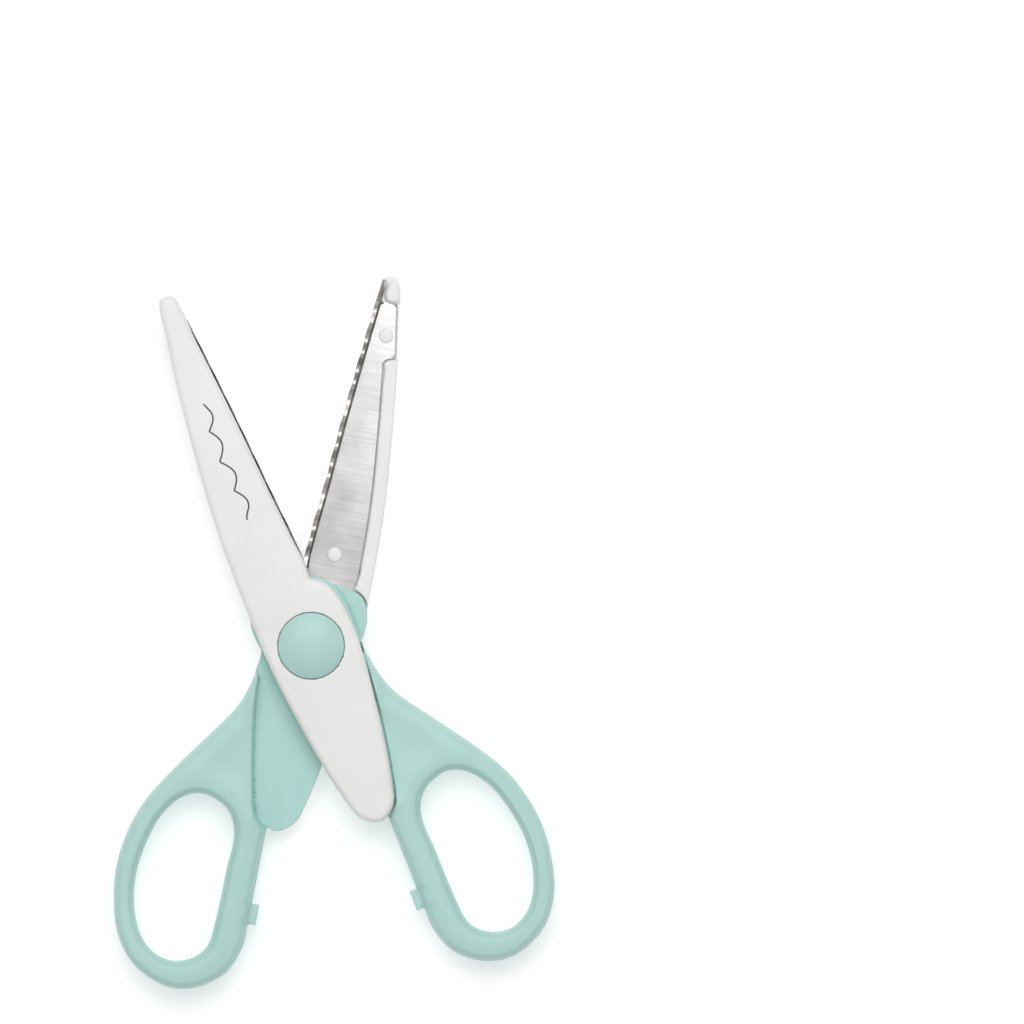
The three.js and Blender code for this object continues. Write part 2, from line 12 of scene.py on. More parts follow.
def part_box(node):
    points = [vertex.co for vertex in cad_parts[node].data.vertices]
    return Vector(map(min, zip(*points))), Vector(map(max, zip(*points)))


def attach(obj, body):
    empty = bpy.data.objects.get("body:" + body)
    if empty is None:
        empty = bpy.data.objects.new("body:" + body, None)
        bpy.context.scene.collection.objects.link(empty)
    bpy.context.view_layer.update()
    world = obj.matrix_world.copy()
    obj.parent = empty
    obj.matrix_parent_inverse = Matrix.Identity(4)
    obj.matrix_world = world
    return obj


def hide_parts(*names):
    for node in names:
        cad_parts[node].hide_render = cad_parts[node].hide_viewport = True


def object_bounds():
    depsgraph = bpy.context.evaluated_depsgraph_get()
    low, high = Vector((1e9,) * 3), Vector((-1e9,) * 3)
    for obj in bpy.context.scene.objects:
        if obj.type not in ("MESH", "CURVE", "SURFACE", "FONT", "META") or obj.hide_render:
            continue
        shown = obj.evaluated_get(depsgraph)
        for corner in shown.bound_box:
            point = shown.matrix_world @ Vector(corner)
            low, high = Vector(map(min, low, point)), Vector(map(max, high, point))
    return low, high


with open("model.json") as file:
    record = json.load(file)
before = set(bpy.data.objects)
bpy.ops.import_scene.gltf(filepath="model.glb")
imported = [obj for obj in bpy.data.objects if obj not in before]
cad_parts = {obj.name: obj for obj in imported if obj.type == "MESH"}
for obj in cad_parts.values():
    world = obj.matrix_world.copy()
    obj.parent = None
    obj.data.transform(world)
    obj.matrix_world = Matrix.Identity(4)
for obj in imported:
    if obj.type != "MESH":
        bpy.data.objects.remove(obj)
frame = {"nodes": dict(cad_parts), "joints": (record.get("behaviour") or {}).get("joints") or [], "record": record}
cad_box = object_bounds()

MM = 0.001
# The halves lie turned away from the middle line by half of the closing travel
HALF_ANGLE = math.radians(-frame["joints"][0]["range_deg"][0] / 2)
MID_PLANE = sum(corner.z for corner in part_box("thrust_washer")) / 2
SIDES = {"upper": 1, "lower": -1}
SLIVER = 0.2
CLEAR = 0.005
NOTHING = 1e-9
SHARP_TURN = math.radians(38)
POINTS_AT_ONCE = 4000

# Half frame, in millimetres: x to the cutting edge, y to the tip, z out from the shear plane.


def to_row(points, side):
    """Points of a half's own frame in millimetres, brought to the row frame in metres."""
    points = np.asarray(points, float)
    x, y, z = points[:, 0] * side, points[:, 1], points[:, 2] * side
    c, s = math.cos(side * HALF_ANGLE), math.sin(side * HALF_ANGLE)
    return np.column_stack((c * x - s * y, s * x + c * y, z)) * MM + (0, 0, MID_PLANE)


def to_half(points, side):
    """Points of the row frame in metres, brought to a half's own frame in millimetres."""
    points = (np.asarray(points, float) - (0, 0, MID_PLANE)) / MM
    c, s = math.cos(side * HALF_ANGLE), math.sin(side * HALF_ANGLE)
    x, y = c * points[:, 0] + s * points[:, 1], -s * points[:, 0] + c * points[:, 1]
    return np.column_stack((side * x, y, side * points[:, 2]))


def cad_triangles(node, side=1):
    """The triangles of a CAD node in its half's frame, as an array of n by 3 by 3."""
    mesh = frame["nodes"][node].data
    mesh.calc_loop_triangles()
    places = to_half([v.co for v in mesh.vertices], side)
    return places[np.array([t.vertices for t in mesh.loop_triangles])]


# ---- Outlines ------------------------------------------------------------------------------------


def chained(segments):
    """Closed loops from loose segments, longest first."""
    def key(p):
        return round(p[0], 3), round(p[1], 3)

    follow = {}
    for a, b in segments:
        if key(a) != key(b):
            follow.setdefault(key(a), []).append(b)
    loops = []
    while follow:
        start = next(iter(follow))
        loop, here = [], start
        while here in follow:
            nxt = follow[here].pop()
            if not follow[here]:
                del follow[here]
            loop.append(nxt)
            here = key(nxt)
        loops.append(np.array(loop))
    return sorted(loops, key=lambda p: -abs(area(p)))


def area(loop):
    """The area inside a loop, negative where it runs clockwise."""
    x, y = loop[:, 0], loop[:, 1]
    return 0.5 * float(np.sum(x * np.roll(y, -1) - np.roll(x, -1) * y))


def corners_only(loop, flat=0.004):
    """The loop without the points on its straight stretches."""
    keep = np.ones(len(loop), bool)
    for _ in range(4):
        p = loop[keep]
        a, b = np.roll(p, 1, axis=0), np.roll(p, -1, axis=0)
        chord = np.linalg.norm(b - a, axis=1) + NOTHING
        off = np.abs((p - a)[:, 0] * (b - a)[:, 1] - (p - a)[:, 1] * (b - a)[:, 0]) / chord
        drop = off < flat
        drop[1:] &= ~drop[:-1]
        if not drop.any():
            break
        keep[np.flatnonzero(keep)[drop]] = False
    return loop[keep]


def slice_at(triangles, level):
    """Loops in which the triangles cross a level: anticlockwise round material, clockwise round holes."""
    segments = []
    for t in triangles:
        above = t[:, 2] > level
        if above.all() or not above.any():
            continue
        ends = [None, None]
        for p, q in zip(t, np.roll(t, -1, axis=0)):
            if (p[2] > level) != (q[2] > level):
                f = (level - p[2]) / (q[2] - p[2])
                ends[int(q[2] > level)] = (p + f * (q - p))[:2]
        segments.append(ends)
    loops = [corners_only(loop) for loop in chained(segments)]
    loops = [loop for loop in loops if abs(area(loop)) > SLIVER]
    turned = []
    for i, loop in enumerate(loops):
        holds = sum(inside(loop[:1], [other])[0] for j, other in enumerate(loops) if j != i)
        turned.append(loop if (area(loop) > 0) == (holds % 2 == 0) else loop[::-1])
    return turned


def smooth(loop, step):
    """The loop as a fine curve through its points, turning sharply where they do."""
    p = loop
    before, after = p - np.roll(p, 1, axis=0), np.roll(p, -1, axis=0) - p
    lb, la = np.linalg.norm(before, axis=1), np.linalg.norm(after, axis=1)
    cosine = np.sum(before * after, axis=1) / (lb * la)
    sharp = cosine < math.cos(SHARP_TURN)
    tangent = (before / lb[:, None]) * la[:, None] + (after / la[:, None]) * lb[:, None]
    tangent /= (lb + la)[:, None]
    out = []
    for i in range(len(p)):
        j = (i + 1) % len(p)
        length = la[i]
        t0 = after[i] / length if sharp[i] else tangent[i]
        t1 = after[i] / length if sharp[j] else tangent[j]
        count = max(1, int(round(length / step)))
        for k in range(count):
            t = k / count
            h00, h10 = 2 * t**3 - 3 * t**2 + 1, t**3 - 2 * t**2 + t
            h01, h11 = 3 * t**2 - 2 * t**3, t**3 - t**2
            out.append(h00 * p[i] + h10 * length * t0 + h01 * p[j] + h11 * length * t1)
    return np.array(out)


def circle(radius, count):
    """Points of a circle round the pivot."""
    turn = np.linspace(0, 2 * math.pi, count, endpoint=False)
    return np.column_stack((np.cos(turn), np.sin(turn))) * radius


def segments_of(loops):
    """The segments of closed loops, as an array of n by 2 by 2."""
    return np.concatenate([np.stack((p, np.roll(p, -1, axis=0)), axis=1) for p in loops])


def distance(points, segments):
    """How far each point is from the nearest segment."""
    best = np.full(len(points), 1e9)
    if len(segments) == 0:
        return best
    a, d = segments[:, 0], segments[:, 1] - segments[:, 0]
    dd = np.maximum(np.sum(d * d, axis=1), 1e-12)
    for start in range(0, len(points), POINTS_AT_ONCE):
        p = points[start:start + POINTS_AT_ONCE, None]
        t = np.clip(np.sum((p - a) * d, axis=2) / dd, 0, 1)
        gap = p - a - t[..., None] * d
        best[start:start + POINTS_AT_ONCE] = np.sqrt(np.min(np.sum(gap * gap, axis=2), axis=1))
    return best


def inside(points, loops):
    """Whether each point lies in the region that the loops bound."""
    result = np.zeros(len(points), bool)
    for a, b in segments_of(loops):
        if a[1] == b[1]:
            continue
        across = (points[:, 1] >= a[1]) != (points[:, 1] >= b[1])
        x = a[0] + (points[:, 1] - a[1]) * (b[0] - a[0]) / (b[1] - a[1])
        result ^= across & (points[:, 0] < x)
    return result


def to_left(along):
    """Unit directions to the left of the given directions."""
    along = along / (np.linalg.norm(along, axis=1)[:, None] + NOTHING)
    return np.column_stack((-along[:, 1], along[:, 0]))


def normals(loop):
    """The direction to the left of each point of a loop, which is inwards where it runs anticlockwise."""
    along = np.roll(loop, -1, axis=0) - np.roll(loop, 1, axis=0)
    return to_left(along)


def rings(loops, depths):
    """Points at given depths inside loops, left out where another stretch of loop is nearer."""
    out = []
    edge = segments_of(loops)
    for depth in depths:
        ring = np.concatenate([p + normals(p) * depth for p in loops])
        out.append(ring[distance(ring, edge) > 0.96 * depth])
    return np.concatenate(out)


def lattice(loops, step, away):
    """Points of a staggered grid inside loops, away from their edges."""
    low, high = np.min(loops[0], axis=0), np.max(loops[0], axis=0)
    rows = []
    for i, y in enumerate(np.arange(low[1], high[1], step * 0.87)):
        x = np.arange(low[0] + (i % 2) * step / 2, high[0], step)
        rows.append(np.column_stack((x, np.full(len(x), y))))
    points = np.concatenate(rows)
    points = points[inside(points, loops)]
    return points[distance(points, segments_of(loops)) > away]


class Step:
    """The raised part of a face: its region, and the walls at which it drops to a lower level."""

    NEAR = 0.3

    def __init__(self, region, outline, away, lean=0.0, only_above=-1e3):
        self.region, self.lean = region, lean
        every = segments_of(region)
        middle = every.mean(axis=1)
        wall = (distance(middle, segments_of(outline)) > away) & (middle[:, 1] > only_above)
        self.walls, self.rim = every[wall], every[~wall]

    def place(self, points):
        """For each point, whether it is raised, and how far it is from the walls and from the rim."""
        wall, rim = distance(points, self.walls), distance(points, self.rim)
        within = inside(points, self.region)
        raised = within | ((rim < self.NEAR) & (rim < wall))
        return raised, wall, np.where(within, rim + self.lean, np.maximum(self.lean - rim, 0))

    def seam(self, depths):
        """Points beside the walls, at depths on the raised side or, below zero, on the low side."""
        middle = self.walls.mean(axis=1)
        left = to_left(self.walls[:, 1] - self.walls[:, 0])
        out = []
        for depth in depths:
            row = middle + left * depth
            out.append(row[distance(row, self.walls) > 0.9 * abs(depth)])
        return np.concatenate(out)


def quarter(gap, width):
    """From 0 at an edge to 1 a width away from it, as a quarter circle."""
    return np.sqrt(1 - (1 - np.clip(gap / width, 0, 1)) ** 2)


def eased(value, start, end):
    """From 0 at the start to 1 at the end, level at both."""
    t = np.clip((value - start) / (end - start), 0, 1)
    return t * t * (3 - 2 * t)


# ---- Meshes --------------------------------------------------------------------------------------


def two_skins(loops, points, skins):
    """Corners and faces of a closed piece over a plan region; skins gives its inner and outer levels."""
    edges, start = [], 0
    for p in loops:
        edges += [(start + i, start + (i + 1) % len(p)) for i in range(len(p))]
        start += len(p)
    points = points[inside(points, loops)]
    points = points[distance(points, segments_of(loops)) > CLEAR]
    every = np.concatenate([*loops, points])
    coords, _, faces, *_ = delaunay_2d_cdt([Vector(p) for p in every], edges, [], 0, 1e-6, False)
    plan = np.array([tuple(c) for c in coords])
    faces = np.array(faces)
    faces = faces[inside(plan[faces].mean(axis=1), loops)]
    used, faces = np.unique(faces, return_inverse=True)
    faces = faces.reshape(-1, 3)
    plan = plan[used]
    inner, outer = skins(plan, faces)
    n = len(plan)
    corners = np.concatenate((np.column_stack((plan, inner)), np.column_stack((plan, outer))))
    half_edges = {(int(f[i]), int(f[(i + 1) % 3])) for f in faces for i in range(3)}
    rim = [(p, q) for p, q in half_edges if (q, p) not in half_edges]
    walls = [(p, q, q + n, p + n) for p, q in sorted(rim)]
    return corners, [tuple(f[::-1]) for f in faces] + [tuple(f + n) for f in faces] + walls


def settled(levels, faces, fixed, rounds):
    """Levels evened out between neighbours, except at the fixed corners."""
    pairs = np.concatenate((faces[:, :2], faces[:, 1:], faces[:, ::2]))
    pairs = np.concatenate((pairs, pairs[:, ::-1]))
    count = np.bincount(pairs[:, 0], minlength=len(levels))
    for _ in range(rounds):
        mean = np.bincount(pairs[:, 0], levels[pairs[:, 1]], len(levels)) / np.maximum(count, 1)
        levels = np.where(fixed, levels, mean)
    return levels


MERGE = 1e-8


def piece(name, corners, faces, body, node, material, sharp=50):
    """A closed smooth-shaded mesh object that rides on a body and stands for a CAD node."""
    mesh = bpy.data.meshes.new(name)
    mesh.from_pydata([tuple(c) for c in corners], [], [tuple(int(i) for i in f) for f in faces])
    work = bmesh.new()
    work.from_mesh(mesh)
    bmesh.ops.remove_doubles(work, verts=work.verts, dist=MERGE)
    bmesh.ops.dissolve_degenerate(work, edges=work.edges, dist=MERGE)
    work.to_mesh(mesh)
    work.free()
    mesh.shade_smooth()
    mesh.set_sharp_from_angle(angle=math.radians(sharp))
    made = bpy.data.objects.new(name, mesh)
    bpy.context.scene.collection.objects.link(made)
    mesh.materials.append(material)
    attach(made, body)
    if node:
        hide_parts(node)
    return made


# ---- Materials -----------------------------------------------------------------------------------


def node(tree, kind, **values):
    """A new shader node; each value goes to the socket of its name, or else to the setting."""
    made = tree.nodes.new("ShaderNode" + kind)
    for name, value in values.items():
        if name in made.inputs:
            made.inputs[name].default_value = value
        else:
            setattr(made, name, value)
    return made


NOISE_FROM, NOISE_TO = 0.3, 0.7


def ranged(tree, noise, low, high):
    """A node that brings the usual range of a noise to the range between two limits."""
    made = node(tree, "MapRange")
    made.inputs["From Min"].default_value = NOISE_FROM
    made.inputs["From Max"].default_value = NOISE_TO
    made.inputs["To Min"].default_value = low
    made.inputs["To Max"].default_value = high
    tree.links.new(noise.outputs["Fac"], made.inputs["Value"])
    return made


def surface(name, low, high, patch, roughness, spread, **shader):
    """A material whose colour and roughness wander between limits in patches of a given size."""
    material = bpy.data.materials.new(name)
    material.use_nodes = True
    tree = material.node_tree
    bsdf = tree.nodes["Principled BSDF"]
    for socket, value in shader.items():
        bsdf.inputs[socket.replace("_", " ")].default_value = value
    place = node(tree, "TexCoord")
    cloud = node(tree, "TexNoise", Scale=1 / patch, Detail=3.0, Roughness=0.55)
    tree.links.new(place.outputs["Object"], cloud.inputs["Vector"])
    tint = node(tree, "ValToRGB")
    tint.color_ramp.elements[0].position = 0.35
    tint.color_ramp.elements[0].color = (*low, 1)
    tint.color_ramp.elements[1].position = 0.65
    tint.color_ramp.elements[1].color = (*high, 1)
    tree.links.new(cloud.outputs["Fac"], tint.inputs["Fac"])
    tree.links.new(tint.outputs["Color"], bsdf.inputs["Base Color"])
    gloss = ranged(tree, cloud, roughness - spread, roughness + spread)
    tree.links.new(gloss.outputs["Result"], bsdf.inputs["Roughness"])
    return material, tree, bsdf, place


RELIEF = 0.00002


def raised_by(tree, grain, bsdf, strength):
    """Gives the surface a fine relief from a noise."""
    bump = node(tree, "Bump", Strength=strength, Distance=RELIEF)
    tree.links.new(grain.outputs["Fac"], bump.inputs["Height"])
    tree.links.new(bump.outputs["Normal"], bsdf.inputs["Normal"])


def moulded(name, low, high, roughness):
    """Satin injection-moulded plastic with a very fine texture from the mould."""
    material, tree, bsdf, place = surface(
        name, low, high, 0.02, roughness, 0.05, Specular_IOR_Level=0.45, IOR=1.5,
        Subsurface_Weight=0.08, Subsurface_Scale=0.001, Coat_Weight=0.08, Coat_Roughness=0.3)
    bsdf.inputs["Subsurface Radius"].default_value = (1.0, 1.0, 0.9)
    grain = node(tree, "TexNoise", Scale=9000, Detail=2.0, Roughness=0.6)
    tree.links.new(place.outputs["Object"], grain.inputs["Vector"])
    raised_by(tree, grain, bsdf, 0.12)
    return material


def brushed(name, low, high, roughness, turn):
    """Steel brushed across its length, which is turned about Z by an angle."""
    material, tree, bsdf, place = surface(name, low, high, 0.012, roughness, 0.03, Metallic=1.0)
    spin = node(tree, "Mapping")
    spin.inputs["Rotation"].default_value = (0, 0, turn)
    tree.links.new(place.outputs["Object"], spin.inputs["Vector"])
    tint = bsdf.inputs["Base Color"].links[0].from_socket
    for stretch, contrast in (((12, 420, 12), 0.06), ((30, 1600, 30), 0.10)):
        lines = node(tree, "Mapping")
        lines.inputs["Scale"].default_value = stretch
        tree.links.new(spin.outputs["Vector"], lines.inputs["Vector"])
        grain = node(tree, "TexNoise", Scale=2.5, Detail=3.0, Roughness=0.6)
        tree.links.new(lines.outputs["Vector"], grain.inputs["Vector"])
        shade = ranged(tree, grain, 1 - contrast, 1 + contrast / 2)
        mixed = node(tree, "VectorMath", operation="SCALE")
        tree.links.new(tint, mixed.inputs[0])
        tree.links.new(shade.outputs["Result"], mixed.inputs["Scale"])
        tint = mixed.outputs[0]
    tree.links.new(tint, bsdf.inputs["Base Color"])
    raised_by(tree, grain, bsdf, 0.06)
    return material


MINT = moulded("mint_plastic", (0.445, 0.69, 0.65), (0.475, 0.72, 0.68), 0.42)
WHITE = moulded("white_plastic", (0.83, 0.83, 0.81), (0.87, 0.87, 0.855), 0.40)
NYLON = moulded("nylon", (0.66, 0.65, 0.60), (0.72, 0.71, 0.66), 0.5)
LENGTHWISE = {side: -sign * HALF_ANGLE for side, sign in SIDES.items()}
STEEL = {
    side: brushed(f"brushed_steel_{side}", (0.76, 0.755, 0.74), (0.84, 0.835, 0.82), 0.21, turn)
    for side, turn in LENGTHWISE.items()}
GROUND = {
    side: brushed(f"ground_steel_{side}", (0.40, 0.385, 0.36), (0.48, 0.465, 0.44), 0.34, turn)
    for side, turn in LENGTHWISE.items()}
# Painted shade: a near-black steel for the outer faces of the corrugated strip, standing in for the shade and dark
# reflections it has beside the cover
PAINTED_SHADE_STEEL = brushed("painted_shade_steel", (0.09, 0.08, 0.07), (0.14, 0.125, 0.115), 0.5, 0)
ZINC = brushed("zinc_plated_steel", (0.56, 0.56, 0.55), (0.64, 0.64, 0.62), 0.3, 0.4)
INK = moulded("print_ink", (0.045, 0.05, 0.06), (0.065, 0.07, 0.08), 0.55)


# ---- Handles -------------------------------------------------------------------------------------

HANDLE_HALF = 4.6
WEB_HALF = 3.3
PLATE = (0.15, 2.35)
BAR_ROUND = 3.3
BAR_POWER = 2.2
PLATE_EDGE = 0.3
TAB_HALF = 1.4
TAB_EDGE = 0.25
ARMS_BELOW = -50
TAB_REACH_BACK = -70
FINE = 0.55
FRONT_WALL_TOP = 0.4
BACK_WALL_TOP = 0.7
WEB_DISH = (2.4, 7.5)
# Levels at which the solid is sliced: through the plate, above it and below it
HANDLE_SLICES = (0.7, 2.45, -1.6)
EDGE_DEPTHS = (0.01, 0.05, 0.14, 0.3, 0.55, 0.9, 1.3)
WALL_DEPTHS = (-0.012, 0.012, 0.05, 0.13, 0.26, 0.45, 0.7)
EVENING_ROUNDS = 25


def bar(depth):
    """Height of a handle's face above its middle plane, from the depth inside its outline."""
    fall = 1 - np.clip(depth / BAR_ROUND, 0, 1)
    crown = HANDLE_HALF * (1 - fall**BAR_POWER) ** (1 / BAR_POWER)
    return crown - (HANDLE_HALF - WEB_HALF) * eased(depth, *WEB_DISH)


def handle(side):
    """The moulding of finger loop, arm, web, plate and stop tab."""
    name = f"{side}_handle"
    triangles = cad_triangles(name, SIDES[side])
    whole, above, below = ([smooth(p, FINE) for p in slice_at(triangles, z)] for z in HANDLE_SLICES)
    front = Step(above, whole, 0.5, 0.12, ARMS_BELOW)
    back = Step(below, whole, 0.3, 0, ARMS_BELOW)
    arm = whole[0][whole[0][:, 1] < ARMS_BELOW]
    tab = arm[(arm[:, 0] < 1.0) & (arm[:, 1] > TAB_REACH_BACK)]
    tab_low, tab_high = tab[:, 1].min(), tab[:, 1].max()
    points = np.concatenate((
        rings(whole, EDGE_DEPTHS),
        front.seam(WALL_DEPTHS),
        back.seam(WALL_DEPTHS),
        lattice(whole, FINE, 1.6),
    ))

    def skins(plan, faces):
        edge = distance(plan, segments_of(whole))
        rounding = PLATE_EDGE * (1 - quarter(edge, PLATE_EDGE))
        in_arm = plan[:, 1] < ARMS_BELOW
        beside_tab = (plan[:, 1] > tab_low - 0.02) & (plan[:, 1] < tab_high + 0.02)
        on_tab = in_arm & (plan[:, 0] < 5) & beside_tab
        tab_face = np.where(on_tab, TAB_HALF - TAB_EDGE * (1 - quarter(edge, TAB_EDGE)), 0)
        levels = []
        for face, flat, top in ((back, PLATE[0] + rounding, BACK_WALL_TOP),
                                (front, PLATE[1] - rounding, FRONT_WALL_TOP)):
            raised, wall, rim = face.place(plan)
            sign = 1 if face is front else -1
            full = sign * bar(rim)
            level = np.where(raised, flat + (full - flat) * quarter(wall, top), flat)
            level = np.where(in_arm, sign * np.maximum(np.where(raised, abs(full), 0), tab_face), level)
            fixed = (edge < 1.4) | ~raised | (wall < 0.8) | (on_tab & (rim < 1.2))
            levels.append(settled(level, faces, fixed, EVENING_ROUNDS))
        return levels

    corners, faces = two_skins(whole, points, skins)
    piece(
        name + "_moulding", to_row(corners, SIDES[side]), faces,
        f"{side}_half", name, MINT)


for side in SIDES:
    handle(side)


# ---- Covers --------------------------------------------------------------------------------------

COVER_OUT = 6.0
COVER_EDGE = 1.35
COVER_CROWN = 0.18
SEAT_OUT = 4.05
SEAT_RADIUS = 7.55
POCKET = 3.15
COVER_IN = 2.4
BORDER_IN = 0.6
BORDER_EDGE = 0.45
NOSE_IN = 1.2
NOSE_EDGE = 1.1
NOSE_SWELL = 0.4
RIVET_HOLE = 5.0
SET_BACK = 0.4
SET_BACK_FROM = (17, 24)
SET_BACK_TO = (74, 79)
# Levels at which the solid is sliced: above the pocket, in the pocket, and through border and nose
COVER_SLICES = (3.6, 2.7, 1.75)
SEAT_CORNERS = 120
SEAT_LIP = 0.12
BORDER_ROUND = 0.3


def cover(side):
    """The moulding from tail to tip, with its pocket for the blade, side border and nose."""
    name = f"{side}_cover"
    triangles = cad_triangles(name, SIDES[side])
    top, in_pocket, low = (slice_at(triangles, z) for z in COVER_SLICES)
    whole = [smooth(loop, 0.5) for loop in top if abs(area(loop)) > RIVET_HOLE]
    # The side over the cutting edge is set back a little, so that the strip's dark edge, painted shade on its
    # outer face, shows from above
    rim, facing = whole[0], normals(whole[0])
    along_strip = eased(rim[:, 1], *SET_BACK_FROM) * (1 - eased(rim[:, 1], *SET_BACK_TO))
    along_strip *= facing[:, 0] < -0.7
    whole[0] = rim + facing * (SET_BACK * along_strip)[:, None]
    rest = Step([smooth(p, 0.5) for p in in_pocket], whole, 0.12)
    border_loop, nose_loop = (smooth(p, 0.4) for p in low)
    border = Step([border_loop], whole, 0.12)
    nose = Step([nose_loop], whole, 0.0)
    points = np.concatenate((
        rings(whole, (0.01, 0.05, 0.12, 0.25, 0.42, 0.65, 0.95, 1.3)),
        rest.seam((-0.015, 0.015)),
        border.seam((-0.015, 0.015, 0.06, 0.15, 0.3)),
        nose.seam((-0.39, -0.3, -0.15, 0.015, 0.2, 0.4, 0.7)),
        *(circle(SEAT_RADIUS + beyond, SEAT_CORNERS) for beyond in (-0.01, 0.01, 0.15)),
        lattice(whole, 0.9, 1.5),
    ))

    def skins(plan, faces):
        edge = distance(plan, segments_of(whole[:1]))
        outer = COVER_OUT - COVER_EDGE * (1 - quarter(edge, COVER_EDGE))
        outer -= COVER_CROWN * (1 - eased(edge, 0.3, 7.0)) - 0.01
        radius = np.hypot(plan[:, 0], plan[:, 1])
        lip = SEAT_LIP * (1 - quarter(np.maximum(radius - SEAT_RADIUS, 0), SEAT_LIP))
        outer = np.where(radius < SEAT_RADIUS, SEAT_OUT, np.minimum(outer - lip, COVER_OUT))
        on_rest, *_ = rest.place(plan)
        inner = np.where(on_rest, COVER_IN, POCKET)
        on_border, wall, _ = border.place(plan)
        raised = COVER_IN - (COVER_IN - BORDER_IN) * quarter(wall, BORDER_ROUND)
        raised = np.maximum(raised, BORDER_IN + BORDER_EDGE * (1 - quarter(edge, BORDER_EDGE)))
        inner = np.where(on_border, raised, inner)
        depth = distance(plan, nose.walls) * np.where(inside(plan, nose.region), 1, -1)
        depth += NOSE_SWELL
        dome = POCKET - (POCKET - NOSE_IN) * quarter(np.maximum(depth, 0), NOSE_EDGE)
        return np.where(depth > 0, np.minimum(dome, inner), inner), outer

    corners, faces = two_skins(whole, points, skins)
    piece(
        name + "_moulding", to_row(corners, SIDES[side]), faces,
        f"{side}_half", name, WHITE, sharp=60)


for side in SIDES:
    cover(side)


# ---- Blades --------------------------------------------------------------------------------------

SHEET = (2.4, 3.1)
LIE = 0.05
STRIP_FROM_BEND = 1.4
JOGGLE = 0.5
JOGGLE_WALL = 0.4
WAVE_START = 17.0
WAVE_HEIGHT = 0.9
WAVE_PITCH = 7.2
WAVES_IN_PATTERN = 3
WAVE_RUN_IN = 5.0
PLAIN_END = 4.2
WAVE_RUN_OUT = 3.0
FIN_JOGGLE = 1.35
SCALLOP = {"upper": 0.06, "lower": 0.22}
SCALLOP_PHASE = 0.8
SCALLOP_RUN_IN = (18, 22)
BREAK_EDGE = 0.06
FLAT_SLICE = 2.7
STRIP_BELOW = 1.1
STRIP_STEP = 0.22


def wave(plan, wave_end):
    """Height of the corrugation at points of the plan, from their distance to the pivot."""
    reach = np.hypot(plan[:, 0], plan[:, 1])
    turn = 2 * math.pi * reach / WAVE_PITCH
    run_in = np.clip((reach - WAVE_START) / WAVE_RUN_IN, 0, 1)
    run_out = np.clip((wave_end - reach) / WAVE_RUN_OUT, 0, 1)
    swell = 0.8 + 0.2 * np.cos(turn / WAVES_IN_PATTERN)
    return WAVE_HEIGHT * run_in * run_out * swell * np.sin(turn)


